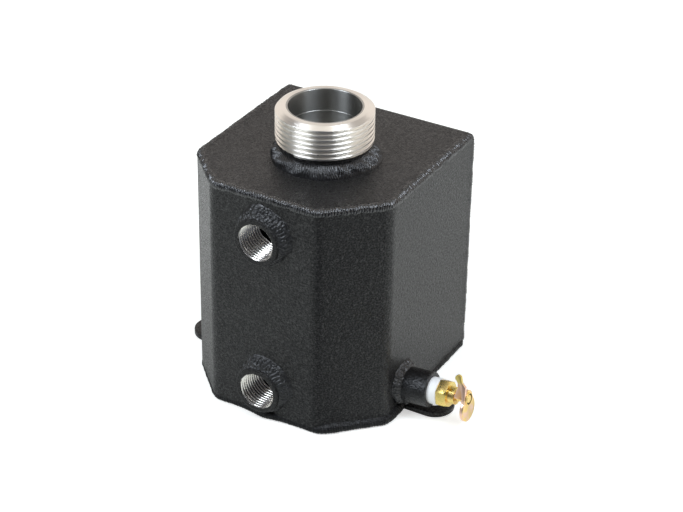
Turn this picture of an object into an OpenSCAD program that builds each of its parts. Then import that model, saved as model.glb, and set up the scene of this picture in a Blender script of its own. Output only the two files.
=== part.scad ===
// Coolant tank of aluminium sheet. A folded front wrapper and a folded channel are welded
// at every edge, and a threaded filler neck, two pipe ports, a drain boss and two mounting
// tabs are welded on. A brass petcock is screwed into the drain boss on sealing tape.
// Lengths are millimetres. X runs along the front wall, Y to the back and Z up, and the
// origin lies in the middle of the base.

/* [Tank] */
// Width between the outsides of the two side walls
tank_w = 110.5; // [102:0.5:150]
// Depth from the front wall to the back wall
tank_d = 114.5; // [104:0.5:150]
// Height from the base to the top plate
tank_h = 128.5; // [100:0.5:180]
// Thickness of the sheet
sheet_t = 3; // [2:0.1:3.5]
// Leg of the slanted wall at the left
left_chamfer = 24; // [16:0.5:27]
// Leg of the slanted wall at the right
right_chamfer = 26.5; // [16:0.5:30]
// Outside radius of the upright bends
wall_bend_r = 8; // [5:0.5:10]
// Outside radius of the bends above and below the back wall
back_bend_r = 4.5; // [4:0.25:8]

/* [Welds] */
// Height of the rounded crown of a seam over its straight chord
seam_crown = 1.5; // [0.9:0.05:1.8]
// Width of the bead round the filler neck
neck_weld_w = 4.7; // [3:0.1:6]
// Height of the bead round the filler neck
neck_weld_h = 6; // [3:0.1:7]
// Leg of the bead round each port
port_weld_leg = 4; // [2:0.1:4.2]
// Leg of the bead round the drain boss
drain_weld_leg = 3.3; // [2:0.1:3.5]
// Leg of the bead on each mounting tab
tab_weld_leg = 3.5; // [2:0.1:4.5]

/* [Filler neck] */
// Offset of the neck to the right of the tank's middle
neck_x = 1.8; // [-8:0.1:8]
// Offset of the neck behind the tank's middle
neck_y = -4; // [-8:0.1:8]
// Diameter over the thread
neck_d = 49.5; // [47:0.1:54]
// Height of the rim above the top plate
neck_h = 26.8; // [24:0.1:34]
// Diameter of the relief under the thread
neck_relief_d = 46.4; // [44:0.1:46.8]
// Height of the relief above the top plate
neck_relief_h = 8.3; // [6.5:0.1:9.5]
// Diameter of the mouth
mouth_d = 36.7; // [30:0.1:40]
// Depth of the mouth down to its ledge
mouth_depth = 11.9; // [4:0.1:18]
// Width of the ledge in the mouth
ledge_w = 1.05; // [0.5:0.05:2]
// Width of the chamfer round the rim
rim_chamfer_w = 2.9; // [1:0.1:3.2]
// Height of the chamfer round the rim
rim_chamfer_h = 1.6; // [0.8:0.1:2]
// Small break of the sharp edges
edge_break = 0.4; // [0.1:0.1:0.6]
// Pitch of the thread on the neck
neck_pitch = 2.55; // [2:0.05:2.8]
// Depth of the thread on the neck
neck_thread_depth = 1.2; // [0.6:0.1:1.4]
// Turns of the thread on the neck
neck_turns = 5; // [3:1:5]
// Depth of the first thread groove below the rim
neck_thread_start = 3.2; // [2.8:0.1:4]
// Diameter of the spigot that sits in the top plate
spigot_d = 42; // [40:0.1:45]

/* [Ports] */
// Sideways offset of the ports from the middle of the front wall
port_shift = -1.3; // [-6:0.1:6]
// Height of the lower port above the base
lower_port_rise = 18.1; // [17.4:0.1:30]
// Depth of the upper port below the top plate
upper_port_drop = 23.7; // [21:0.1:35]
// Diameter of the port bungs
port_d = 26.2; // [24:0.1:26.6]
// Diameter of the tapped bore of the ports
port_bore_d = 18.4; // [14:0.1:19]
// Width of the chamfer at the mouth of each port
port_chamfer = 0.6; // [0.2:0.1:1]
// Distance that each bung stands out of the front wall
port_standoff = 5; // [4.5:0.1:8]
// Whole length of each bung
port_len = 19; // [12:0.5:24]

/* [Drain boss] */
// Distance of the drain boss in front of the tank's middle
drain_forward = 13.8; // [8:0.1:15]
// Height of the drain boss above the base
drain_rise = 15.6; // [15.6:0.1:30]
// Upward tilt of the drain boss in degrees
drain_tilt = 5; // [0:0.5:6]
// Diameter of the drain boss
drain_d = 18.4; // [17:0.1:21]
// Distance that the drain boss stands out of the side wall
drain_standoff = 17; // [12:0.1:20]
// Distance that the drain boss reaches into the tank
drain_inside = 5; // [3:0.5:8]
// Diameter of the tapped bore of the drain boss
drain_bore_d = 13.7; // [13:0.1:14]
// Depth of the tapped bore of the drain boss
drain_bore_depth = 13; // [11:0.5:16]
// Diameter of the hole from the tank to the tapped bore
drain_hole_d = 9; // [6:0.5:12]

/* [Mounting tabs] */
// Width of each tab
tab_w = 21; // [18:0.5:28]
// Distance of the left bolt hole from its side wall
left_tab_reach = 11; // [10:0.5:18]
// Distance of the right bolt hole from its side wall
right_tab_reach = 13.5; // [10:0.5:18]
// Diameter of the bolt hole
tab_hole_d = 7; // [5:0.1:9]
// Distance of the tabs in front of the tank's middle
tab_forward = 4; // [-8:0.5:8]

/* [Petcock] */
// Length of the tape that shows between the boss and the hexagon
tape_show = 5; // [3:0.1:7]
// Diameter of the tape where it shows
tape_d = 14; // [13.9:0.1:14.6]
// Thickness of the tape inside the tapped bore
tape_t = 0.4; // [0.2:0.05:0.6]
// Length of the petcock shank inside the boss
shank_inside = 9; // [6:0.5:10]
// Width of the hexagon across its flats
hex_af = 12.7; // [12.6:0.1:14.5]
// Length of the hexagon
hex_len = 5.5; // [4:0.1:7]
// Diameter of the round collar
collar_d = 9; // [8:0.1:10]
// Length of the collar
collar_len = 3.6; // [2.8:0.1:5]
// Diameter of the outlet in the collar
outlet_d = 1.6; // [1:0.1:2]
// Turn of the outlet from straight up towards the front in degrees
outlet_turn = 25; // [-180:5:180]
// Diameter of the flow passage
passage_d = 3.6; // [2:0.1:4]
// Diameter of the stem
stem_d = 4.8; // [4.4:0.1:5.4]
// Distance from the collar to the middle of the handle
handle_gap = 5.3; // [4.9:0.1:7]
// Thickness of the handle plate
handle_t = 1.8; // [1:0.1:2]
// Diameter of the round lobe of the handle
lobe_d = 13.5; // [12:0.1:14]
// Distance from the stem to the middle of the round lobe
lobe_drop = 5.9; // [5:0.1:6]
// Diameter of the handle hub
hub_d = 9; // [8.6:0.1:10]
// Diameter of the raised ring on the handle
ring_d = 7; // [6.6:0.1:7.4]
// Height of the raised ring on the handle
ring_h = 0.7; // [0.3:0.1:1.2]
// Height of the wing's tip over the stem
wing_h = 13; // [11.5:0.1:13.5]
// Lean of the wing over the stem in degrees
wing_lean = 12; // [4:1:16]

/* [Hidden] */
$fn = 96;

// Clearance between a bung or spigot and the hole it is welded into
weld_gap = 0.1;
// Clearance between the tape and the pieces it seals
tape_gap = 0.05;
// Clearance of the turning stem and handle
turn_gap = 0.1;
// A cut runs past the face it opens by this much
over = 1;
// Turn of one fold of the front wrapper
fold = 45;
// Directions that the five walls of the front wrapper face
wall_angles = [180, 225, 270, 315, 360];
// Half angle of the thread grooves
thread_flank = 30;

black = [0.13, 0.13, 0.14];
silver = [0.80, 0.80, 0.80];
brass = [0.85, 0.66, 0.32];
white = [0.95, 0.95, 0.94];

bend_tangent = wall_bend_r * tan(fold / 2);
inner_back_bend_r = back_bend_r - sheet_t;
seam_r = (sheet_t * sheet_t / 2 + seam_crown * seam_crown) / (2 * seam_crown);
seam_out = seam_r - sheet_t / 2 - (seam_r - seam_crown) / sqrt(2);
port_weld_d = port_d + 2 * port_weld_leg;
port_x = (left_chamfer - right_chamfer) / 2 + port_shift;
upper_port_z = tank_h - upper_port_drop;
mouth_r = mouth_d / 2;
throat_r = mouth_r - ledge_w;
shank_d = drain_bore_d - 2 * (tape_t + 2 * tape_gap);
hex_start = tape_show;
collar_start = hex_start + hex_len;
collar_end = collar_start + collar_len;
seat_z = hex_start + hex_len / 2;
outlet_z = collar_start + outlet_d / 2 + 0.1;
stem_bore_d = stem_d + 2 * turn_gap;
tip_d = passage_d - 2 * turn_gap;
stem_neck_d = stem_d - 1.4;
stem_neck_len = 0.8;
journal_d = 3.2;
head_d = 4.4;
head_h = 0.6;
handle_z = collar_end + handle_gap;
handle_back_z = handle_z - handle_t / 2;
handle_front_z = handle_z + handle_t / 2;
wing_t = 1.6;
wing_tip_r = 1.7;
wing_back = handle_gap - 0.3;

function heading(a) = [cos(a), sin(a)];
function along(a) = heading(a + 90);

// Sharp corners of the front wrapper in plan, whose side walls end at the given depth
function wall_corners(rear_y) = [
    [-tank_w / 2, rear_y],
    [-tank_w / 2, left_chamfer - tank_d / 2],
    [left_chamfer - tank_w / 2, -tank_d / 2],
    [tank_w / 2 - right_chamfer, -tank_d / 2],
    [tank_w / 2, right_chamfer - tank_d / 2],
    [tank_w / 2, rear_y]];

function bend_centre(i) = wall_corners(0)[i] - bend_tangent * along(wall_angles[i - 1])
    - wall_bend_r * heading(wall_angles[i - 1]);

// Points where the flat walls on both sides of a bend meet it, moved in by the inset
function bend_points(i, inset) = [for (a = [wall_angles[i - 1], wall_angles[i]])
    bend_centre(i) + (wall_bend_r - inset) * heading(a)];

// Outline of the tank in plan with its bent corners, moved in by the inset
module tank_plan(inset) {
    polygon(concat([[inset - tank_w / 2, tank_d / 2]],
        [for (i = [1:4]) each bend_points(i, inset)],
        [[tank_w / 2 - inset, tank_d / 2]]));
    for (i = [1:4]) {
        translate(bend_centre(i)) circle(r = wall_bend_r - inset);
    }
}

// The folded walls in plan, open at the back
module wall_ring() {
    difference() {
        tank_plan(0);
        tank_plan(sheet_t);
    }
}

// Section of a bead that fills a square corner, with a rounded crown over its chord
module bead(w, h, crown) {
    chord = norm([w, h]);
    r = (chord * chord / 4 + crown * crown) / (2 * crown);
    out = [h, w] / chord;
    intersection() {
        square([w, h] + [crown, crown]);
        translate([w, h] / 2 - (r - crown) * out) circle(r = r);
    }
}

// Section of the groove that a seam fills between the wrapper and the channel
module seam_bead() {
    bead(sheet_t, sheet_t, seam_crown);
}

// The seam along the five walls with its open side up and its foot at zero height, cut
// level at the given height. Each wall rounds it off in its own direction, and the
// roundings meet over the folds.
module wall_seam(height) {
    corners = wall_corners(0);
    reach = tank_w + tank_d;
    intersection() {
        linear_extrude(height) difference() {
            tank_plan(-seam_out - weld_gap);
            tank_plan(sheet_t);
        }
        translate([-tank_w, -tank_d, -over])
            cube([2 * tank_w, tank_d + tank_d / 2 - back_bend_r, sheet_t + 2 * over]);
        intersection_for(i = [0:4]) {
            a = wall_angles[i];
            translate(corners[i] - sheet_t * heading(a) + reach * along(a))
                rotate([90, 0, a]) linear_extrude(2 * reach) {
                    seam_bead();
                    translate([-reach, -over]) square([reach, sheet_t + over]);
                    translate([-over, -over]) square([sheet_t + over, over]);
                }
        }
    }
}

// Side view of the channel outline with its bends, moved in by the inset
module side_profile(inset) {
    front = -tank_d;
    r = back_bend_r - inset;
    translate([front, inset]) square([tank_d / 2 - back_bend_r - front, tank_h - 2 * inset]);
    translate([front, back_bend_r])
        square([tank_d / 2 - inset - front, tank_h - 2 * back_bend_r]);
    for (z = [back_bend_r, tank_h - back_bend_r]) {
        translate([tank_d / 2 - back_bend_r, z]) circle(r = r);
    }
}

// Turns a side view, drawn as depth and height, to its place across the tank
module across(width) {
    translate([-width / 2, 0, 0]) rotate([90, 0, 90]) linear_extrude(width) children();
}

module at_port(z) {
    translate([port_x, -tank_d / 2, z]) rotate([90, 0, 0]) children();
}

// Local Z runs out along the drain boss from its foot on the side wall, local X points down
module at_drain() {
    translate([tank_w / 2, -drain_forward, drain_rise]) rotate([0, 90 - drain_tilt, 0])
        children();
}

// The same frame as the drain boss with its origin at the mouth
module at_petcock() {
    at_drain() translate([0, 0, drain_standoff]) children();
}

module at_neck() {
    translate([neck_x, neck_y, tank_h]) children();
}

// One sheet with four upright folds: both side walls, both slanted walls and the front
module front_wrapper() {
    color(black) difference() {
        intersection() {
            linear_extrude(tank_h) wall_ring();
            across(2 * tank_w) side_profile(sheet_t);
        }
        for (z = [lower_port_rise, upper_port_z]) {
            at_port(z) translate([0, 0, -sheet_t - over])
                cylinder(d = port_d + 2 * weld_gap, h = sheet_t + 2 * over);
        }
        at_drain() translate([0, 0, -sheet_t - 2 * over])
            cylinder(d = drain_d + 2 * weld_gap, h = sheet_t + 4 * over);
    }
}

// One sheet folded to a channel: the top plate, the back wall and the bottom plate
module folded_channel() {
    color(black) difference() {
        intersection() {
            difference() {
                across(2 * tank_w) side_profile(0);
                across(3 * tank_w) side_profile(sheet_t);
            }
            linear_extrude(tank_h) tank_plan(sheet_t);
        }
        at_neck() translate([0, 0, -sheet_t - over])
            cylinder(d = spigot_d + 2 * weld_gap, h = sheet_t + 2 * over);
    }
}

// Section of the neck: spigot, relief, thread with its grooves, chamfered rim and mouth
module neck_section() {
    r = neck_d / 2;
    half = neck_thread_depth * tan(thread_flank);
    grooves = [for (i = [neck_turns - 1:-1:0])
        let (z = neck_h - neck_thread_start - i * neck_pitch)
        each [[r, z - half], [r - neck_thread_depth, z], [r, z + half]]];
    polygon(concat(
        [[throat_r, -sheet_t], [spigot_d / 2, -sheet_t], [spigot_d / 2, 0],
            [neck_relief_d / 2, 0], [neck_relief_d / 2, neck_relief_h],
            [r - edge_break, neck_relief_h], [r, neck_relief_h + edge_break]],
        grooves,
        [[r, neck_h - rim_chamfer_h], [r - rim_chamfer_w, neck_h],
            [mouth_r + edge_break, neck_h], [mouth_r, neck_h - edge_break],
            [mouth_r, neck_h - mouth_depth], [throat_r, neck_h - mouth_depth]]));
}

// Turned collar with the thread for the filler cap
module filler_neck() {
    color(silver) at_neck() rotate_extrude() neck_section();
}

// Turned bung, tapped right through, with the local origin on the front wall
module port_bung() {
    color(silver) difference() {
        translate([0, 0, port_standoff - port_len]) cylinder(d = port_d, h = port_len);
        translate([0, 0, port_standoff - port_len - over])
            cylinder(d = port_bore_d, h = port_len + 2 * over);
        translate([0, 0, port_standoff - port_chamfer])
            cylinder(d1 = port_bore_d, d2 = port_bore_d + 4 * port_chamfer,
                h = 2 * port_chamfer);
    }
}

module upper_port_bung() {
    at_port(upper_port_z) port_bung();
}

module lower_port_bung() {
    at_port(lower_port_rise) port_bung();
}

// Turned boss with a tapped bore for the petcock and a smaller hole into the tank
module drain_boss() {
    depth = drain_standoff + sheet_t + drain_inside;
    color(black) at_petcock() difference() {
        translate([0, 0, -depth]) cylinder(d = drain_d, h = depth);
        translate([0, 0, -drain_bore_depth])
            cylinder(d = drain_bore_d, h = drain_bore_depth + over);
        translate([0, 0, -depth - over]) cylinder(d = drain_hole_d, h = depth);
    }
}

// Flat tab with a full round end, whose inner edge lies in the seam groove of the base
module mounting_tab(reach) {
    color(black) translate([0, -tab_forward, 0]) linear_extrude(sheet_t) difference() {
        union() {
            translate([tank_w / 2 - sheet_t, -tab_w / 2]) square([reach + sheet_t, tab_w]);
            translate([tank_w / 2 + reach, 0]) circle(d = tab_w);
        }
        translate([tank_w / 2 + reach, 0]) circle(d = tab_hole_d);
    }
}

module right_mounting_tab() {
    mounting_tab(right_tab_reach);
}

module left_mounting_tab() {
    mirror([1, 0, 0]) mounting_tab(left_tab_reach);
}

// Bead round a turned piece of the given diameter
module ring_bead(d, w, h) {
    rotate_extrude() translate([d / 2, 0]) bead(w, h, norm([w, h]) / 6);
}

module neck_weld() {
    color(black) at_neck() ring_bead(neck_relief_d, neck_weld_w, neck_weld_h);
}

module port_weld() {
    color(black) ring_bead(port_d, port_weld_leg, port_weld_leg);
}

module upper_port_weld() {
    at_port(upper_port_z) port_weld();
}

module lower_port_weld() {
    at_port(lower_port_rise) port_weld();
}

// Its foot follows the tilt of the boss and the bend beside it
module drain_weld() {
    foot = drain_weld_leg;
    crown = drain_weld_leg / 4;
    color(black) difference() {
        at_drain() rotate_extrude() translate([drain_d / 2, 0]) {
            bead(drain_weld_leg, drain_weld_leg, crown);
            translate([0, -foot]) square([drain_weld_leg, foot]);
        }
        translate([0, 0, -over]) linear_extrude(tank_h) tank_plan(0);
    }
}

module top_seam_weld() {
    color(black) translate([0, 0, tank_h - sheet_t]) wall_seam(sheet_t + over);
}

// The seam of the base is level with it, stops on both sides of each tab and has no crown
// under the bead of the lower port
module bottom_seam_weld() {
    color(black) difference() {
        translate([0, 0, sheet_t]) mirror([0, 0, 1]) wall_seam(sheet_t);
        at_port(lower_port_rise) cylinder(d = port_weld_d + 2 * weld_gap, h = over);
        translate([-tank_w, -tab_forward - tab_w / 2, -over])
            cube([2 * tank_w, tab_w, sheet_t + 2 * over]);
    }
}

// Seam down one rear edge, round the bend above it and the bend below it, where it is
// level with the base
module rear_seam_weld() {
    run = tank_h - 2 * back_bend_r;
    color(black) intersection() {
        cube([tank_w, tank_d, tank_h + over]);
        union() {
            translate([tank_w / 2 - sheet_t, tank_d / 2 - sheet_t, back_bend_r])
                linear_extrude(run) seam_bead();
            for (lower = [0, 1]) {
                translate([tank_w / 2 - sheet_t, tank_d / 2 - back_bend_r,
                    lower ? back_bend_r : tank_h - back_bend_r])
                    rotate([90, 0, 90]) rotate([0, 0, -90 * lower]) rotate_extrude(angle = 90)
                        translate([inner_back_bend_r, 0]) seam_bead();
            }
        }
    }
}

module right_rear_seam_weld() {
    rear_seam_weld();
}

module left_rear_seam_weld() {
    mirror([1, 0, 0]) rear_seam_weld();
}

// Bead on top of a tab, along the side wall
module tab_weld() {
    color(black) translate([tank_w / 2, tab_w / 2 - tab_forward, sheet_t])
        rotate([90, 0, 0]) linear_extrude(tab_w)
            bead(tab_weld_leg, tab_weld_leg, norm([tab_weld_leg, tab_weld_leg]) / 6);
}

// This one stops at the bead of the drain boss
module right_tab_weld() {
    difference() {
        tab_weld();
        at_drain() translate([0, 0, -drain_weld_leg]) cylinder(
            d = drain_d + 2 * (drain_weld_leg + weld_gap), h = 2 * (tab_weld_leg + drain_weld_leg));
    }
}

module left_tab_weld() {
    mirror([1, 0, 0]) tab_weld();
}

// Sealing tape wound on the shank, thicker where it shows
module thread_tape() {
    bore = shank_d + 2 * tape_gap;
    color(white) at_petcock() difference() {
        union() {
            translate([0, 0, -shank_inside])
                cylinder(d = drain_bore_d - 2 * tape_gap, h = shank_inside + tape_show);
            translate([0, 0, tape_gap]) cylinder(d = tape_d, h = tape_show - tape_gap);
        }
        translate([0, 0, -shank_inside - over])
            cylinder(d = bore, h = shank_inside + tape_show + 2 * over);
    }
}

// Hexagon with one corner up and its outer edge chamfered by turning
module hexagon() {
    r = hex_af / 2;
    corner_r = r / cos(30);
    cut = corner_r - r;
    intersection() {
        linear_extrude(hex_len) circle(r = corner_r, $fn = 6);
        rotate_extrude() polygon([[0, 0], [corner_r, 0], [corner_r, hex_len - cut],
            [r, hex_len], [0, hex_len]]);
    }
}

// Brass body: shank, hexagon and collar, with the flow passage, the seat and the outlet
module petcock_body() {
    bore_len = collar_end - seat_z;
    color(brass) at_petcock() difference() {
        union() {
            translate([0, 0, -shank_inside])
                cylinder(d = shank_d, h = shank_inside + hex_start);
            translate([0, 0, hex_start]) hexagon();
            translate([0, 0, collar_start]) cylinder(d = collar_d, h = collar_len);
        }
        translate([0, 0, -shank_inside - over])
            cylinder(d = passage_d, h = shank_inside + over + seat_z);
        translate([0, 0, seat_z - over / 2])
            cylinder(d = stem_bore_d, h = bore_len + over);
        translate([0, 0, outlet_z]) rotate([0, 0, outlet_turn]) rotate([0, -90, 0])
            cylinder(d = outlet_d, h = collar_d);
    }
}

// Turned stem: a tip that closes the passage, a screwed length, a shoulder that carries
// the handle and a peened head
module petcock_stem() {
    shoulder = handle_back_z - turn_gap;
    head_z = handle_front_z + turn_gap;
    tip_z = seat_z - over / 2 + turn_gap;
    color(brass) at_petcock() rotate_extrude() polygon([
        [0, tip_z - tip_d / 2],
        [tip_d / 2, tip_z],
        [stem_neck_d / 2, tip_z],
        [stem_neck_d / 2, tip_z + stem_neck_len],
        [stem_d / 2, tip_z + stem_neck_len + (stem_d - stem_neck_d) / 2],
        [stem_d / 2, shoulder],
        [journal_d / 2, shoulder],
        [journal_d / 2, head_z],
        [head_d / 2, head_z],
        [head_d / 2, head_z + head_h / 2],
        [head_d / 2 - head_h / 2, head_z + head_h],
        [0, head_z + head_h]]);
}

// Outline of the wing as seen from the front: X runs out along the stem and Y up
module wing_outline() {
    waist_h = wing_h * 0.62;
    tip = [-wing_back / 2 - 0.9, wing_h - wing_tip_r];
    polygon([[-wing_back, 0.2], [-wing_back, 1.6], [-wing_back * 0.66, waist_h - 1.8],
        [tip.x - 0.2, waist_h + 0.6], tip - [wing_tip_r, 0], tip + [wing_tip_r, 0],
        [-1.2, waist_h + 1], [handle_t / 2, waist_h - 1], [handle_t / 2, 0.2]]);
    translate(tip) circle(r = wing_tip_r);
}

// Stamped handle: a round lobe below the stem and a wing folded back above it
module petcock_handle() {
    wing_y = hub_d / 2 - wing_t - 0.3;
    color(brass) at_petcock() difference() {
        union() {
            translate([0, 0, handle_back_z]) linear_extrude(handle_t) {
                circle(d = hub_d);
                translate([lobe_drop, 0]) circle(d = lobe_d);
                translate([0, -hub_d / 2]) square([lobe_drop, hub_d]);
            }
            translate([0, 0, handle_front_z]) cylinder(d = ring_d, h = ring_h);
            translate([0, 0, handle_z]) rotate([0, 0, -wing_lean]) rotate([0, -90, 0])
                rotate([90, 0, 0]) translate([0, 0, wing_y])
                    linear_extrude(wing_t) wing_outline();
        }
        translate([0, 0, handle_back_z - over])
            cylinder(d = journal_d + 2 * turn_gap, h = handle_t + ring_h + 2 * over);
        translate([0, 0, handle_front_z])
            cylinder(d = head_d + 8 * turn_gap, h = ring_h + over);
        translate([0, 0, handle_back_z - wing_back])
            cylinder(d = stem_d + 4 * turn_gap, h = wing_back);
    }
}

front_wrapper();
folded_channel();
filler_neck();
upper_port_bung();
lower_port_bung();
drain_boss();
left_mounting_tab();
right_mounting_tab();
neck_weld();
upper_port_weld();
lower_port_weld();
drain_weld();
top_seam_weld();
bottom_seam_weld();
left_rear_seam_weld();
right_rear_seam_weld();
left_tab_weld();
right_tab_weld();
thread_tape();
petcock_body();
petcock_stem();
petcock_handle();
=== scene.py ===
import math

import bpy
from mathutils import Matrix, Vector, noise


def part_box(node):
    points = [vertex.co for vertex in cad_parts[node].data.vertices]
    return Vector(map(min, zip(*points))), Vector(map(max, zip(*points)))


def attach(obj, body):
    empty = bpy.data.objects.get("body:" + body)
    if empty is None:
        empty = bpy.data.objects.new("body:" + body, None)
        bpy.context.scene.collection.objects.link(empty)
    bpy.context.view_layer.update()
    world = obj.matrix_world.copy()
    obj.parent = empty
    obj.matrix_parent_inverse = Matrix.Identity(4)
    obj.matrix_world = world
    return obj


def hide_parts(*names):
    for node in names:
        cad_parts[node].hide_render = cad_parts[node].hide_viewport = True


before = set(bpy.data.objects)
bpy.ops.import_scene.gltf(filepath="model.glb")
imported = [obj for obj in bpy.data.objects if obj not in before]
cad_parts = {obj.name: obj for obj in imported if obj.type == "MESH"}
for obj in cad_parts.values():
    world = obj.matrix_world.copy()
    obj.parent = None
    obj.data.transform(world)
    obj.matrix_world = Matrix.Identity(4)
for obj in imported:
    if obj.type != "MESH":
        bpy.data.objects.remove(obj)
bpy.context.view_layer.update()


# Camera. The photograph looks down on the front left corner of the tank from about a metre
# away, with a long lens. The angles and the distance are those of the photograph.
MM = 0.001
AZIMUTH = math.radians(29.451)
ELEVATION = math.radians(30.918)
ROLL = math.radians(0.953)
CAMERA_PLACE = Vector((451.922, -782.344, 607.84)) * MM
SENSOR_W = 36.0
PHOTO_W = 683
FOCAL_PX = 2047.918

back = Vector((math.sin(AZIMUTH) * math.cos(ELEVATION),
               -math.cos(AZIMUTH) * math.cos(ELEVATION), math.sin(ELEVATION)))
level = Vector((math.cos(AZIMUTH), math.sin(AZIMUTH), 0.0))
above = back.cross(level)
right = level * math.cos(ROLL) + above * math.sin(ROLL)
up = above * math.cos(ROLL) - level * math.sin(ROLL)
camera_data = bpy.data.cameras.new("camera")
camera_data.sensor_fit = "HORIZONTAL"
camera_data.sensor_width = SENSOR_W
camera_data.lens = FOCAL_PX * SENSOR_W / PHOTO_W
camera_data.clip_start = 0.01
camera_data.clip_end = 50.0
camera = bpy.data.objects.new("camera", camera_data)
bpy.context.scene.collection.objects.link(camera)
turned_camera = Matrix((right, up, back)).transposed().to_4x4()
camera.matrix_world = Matrix.Translation(CAMERA_PLACE) @ turned_camera
bpy.context.scene.camera = camera
bpy.context.scene.view_settings.view_transform = "Standard"


# Floor, surround and lamps. The photograph has a white sweep that runs out to plain white,
# with hardly a shadow at the foot of the tank. The studio in front and above is dark, apart
# from a softbox overhead and one on each side of the camera, which show in beads and metal.
class Wire:
    """One socket of a material's nodes, so that shader maths reads as plain expressions."""

    def __init__(self, tree, socket):
        self.tree = tree
        self.socket = socket

    def node(self, kind, settings, sockets, output=0):
        """Adds a node of this kind, sets it up, then fills its sockets by name or number."""
        made = self.tree.nodes.new(kind)
        for name, value in settings.items():
            setattr(made, name, value)
        for name, value in sockets.items():
            if isinstance(value, Wire):
                self.tree.links.new(value.socket, made.inputs[name])
            else:
                made.inputs[name].default_value = value
        return Wire(self.tree, made.outputs[output])

    def math(self, operation, *values):
        return self.node("ShaderNodeMath", {"operation": operation},
                         dict(enumerate((self, *values))))

    def __add__(self, other):
        return self.math("ADD", other)

    def __sub__(self, other):
        return self.math("SUBTRACT", other)

    def __rsub__(self, other):
        return self.node("ShaderNodeMath", {"operation": "SUBTRACT"}, {0: other, 1: self})

    def __mul__(self, other):
        return self.math("MULTIPLY", other)

    def __truediv__(self, other):
        return self.math("DIVIDE", other)

    def __abs__(self):
        return self.math("ABSOLUTE")

    __radd__ = __add__
    __rmul__ = __mul__

    def above(self, edge, soft):
        """0 below the edge and 1 above it, blended over the soft width on both sides."""
        return self.node("ShaderNodeMapRange", {"clamp": True},
                         {"Value": self, "From Min": edge - soft, "From Max": edge + soft})

    def axes(self):
        """The three numbers of a vector."""
        split = self.node("ShaderNodeSeparateXYZ", {}, {0: self}).socket.node
        return [Wire(self.tree, output) for output in split.outputs]

    def blend(self, first, second):
        """The first colour where this is 0 and the second where it is 1."""
        return self.node("ShaderNodeMix", {"data_type": "RGBA"},
                         {0: self, 6: first, 7: second}, 2)


def new_material(name):
    """A material with its Object coordinates, as a Wire, and its Principled shader."""
    material = bpy.data.materials.new(name)
    material.use_nodes = True
    tree = material.node_tree
    shader = next(n for n in tree.nodes if n.type == "BSDF_PRINCIPLED")
    place = Wire(tree, tree.nodes.new("ShaderNodeTexCoord").outputs["Object"])
    return material, place, shader


def feed(shader, **inputs):
    """Sets the shader's sockets. An underscore in a name stands for a space."""
    for name, value in inputs.items():
        socket = shader.inputs[name.replace("_", " ")]
        if isinstance(value, Wire):
            value.tree.links.new(value.socket, socket)
        else:
            socket.default_value = value


def ray_kinds(tree):
    """Whether a ray comes from the camera, from a mirror or through glass."""
    rays = tree.nodes.new("ShaderNodeLightPath")
    return [Wire(tree, rays.outputs[f"Is {kind} Ray"])
            for kind in ("Camera", "Glossy", "Transmission")]


WHITE = (1.0, 1.0, 1.0, 1.0)
FLOOR_COLOUR = (0.88, 0.88, 0.82, 1.0)
FLOOR_HALF = 4.0
FLOOR_DROP = 0.0002
FLOOR_SEEN_GLOW = 0.55
FLOOR_MIRRORED_GLOW = 0.02
FLOOR_UNLIT = (0.12, 0.125, 0.14, 1.0)
SWEEP_GLOW = 0.46
SWEEP_FALL = 0.08
SWEEP_START = 0.06
WORLD_STRENGTH = 0.18
SWEEP_TINT = (0.875, 0.815, 0.77, 1.0)
STUDIO_TINT = (0.10, 0.10, 0.11, 1.0)
UPPER_TINT = (0.46, 0.43, 0.41, 1.0)

bpy.ops.object.select_all(action="DESELECT")
bpy.ops.mesh.primitive_plane_add(size=2.0 * FLOOR_HALF, location=(0.0, 0.0, -FLOOR_DROP))
floor = bpy.context.object
floor.name = "floor"
bpy.ops.object.transform_apply(location=True, rotation=True, scale=True)
floor_material, floor_place, floor_shader = new_material("white_sweep")
from_camera, mirrored, through = ray_kinds(floor_material.node_tree)
floor_x, floor_y, floor_z = floor_place.axes()
behind = floor_y.above(0.0, SWEEP_START)
ahead = floor_x * math.sin(AZIMUTH) - floor_y * math.cos(AZIMUTH)
aside = abs(floor_x * math.cos(AZIMUTH) + floor_y * math.sin(AZIMUTH))
unlit = (ahead - aside * 1.6).above(0.08, 0.10) * mirrored
sweep_glow = behind * (SWEEP_GLOW - floor_x.above(0.0, 0.2) * SWEEP_FALL)
mirrored_glow = mirrored * (sweep_glow + FLOOR_MIRRORED_GLOW)
glow = from_camera.math("MAXIMUM", through) * FLOOR_SEEN_GLOW + mirrored_glow
feed(floor_shader, Base_Color=unlit.blend(FLOOR_COLOUR, FLOOR_UNLIT), Roughness=0.9, Specular_IOR_Level=0.0,
     Emission_Color=WHITE, Emission_Strength=glow)
floor.data.materials.append(floor_material)

world = bpy.data.worlds.new("studio")
bpy.context.scene.world = world
world.use_nodes = True
background = next(n for n in world.node_tree.nodes if n.type == "BACKGROUND")
from_camera, mirrored, through = ray_kinds(world.node_tree)
direction = world.node_tree.nodes.new("ShaderNodeTexCoord").outputs["Generated"]
towards_x, towards_y, towards_z = Wire(world.node_tree, direction).axes()
sweep = towards_y.above(0.0, 0.15) * (1.0 - towards_z.above(0.575, 0.05))
shown = from_camera.math("MAXIMUM", through)
upper = towards_y.above(-0.10, 0.25)
studio = upper.blend(STUDIO_TINT, UPPER_TINT)
tint = mirrored.blend(WHITE, sweep.blend(studio, SWEEP_TINT))
strength = shown.math("MAXIMUM", mirrored) * (1.0 - WORLD_STRENGTH) + WORLD_STRENGTH
world.node_tree.links.new(tint.socket, background.inputs["Color"])
world.node_tree.links.new(strength.socket, background.inputs["Strength"])


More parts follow.
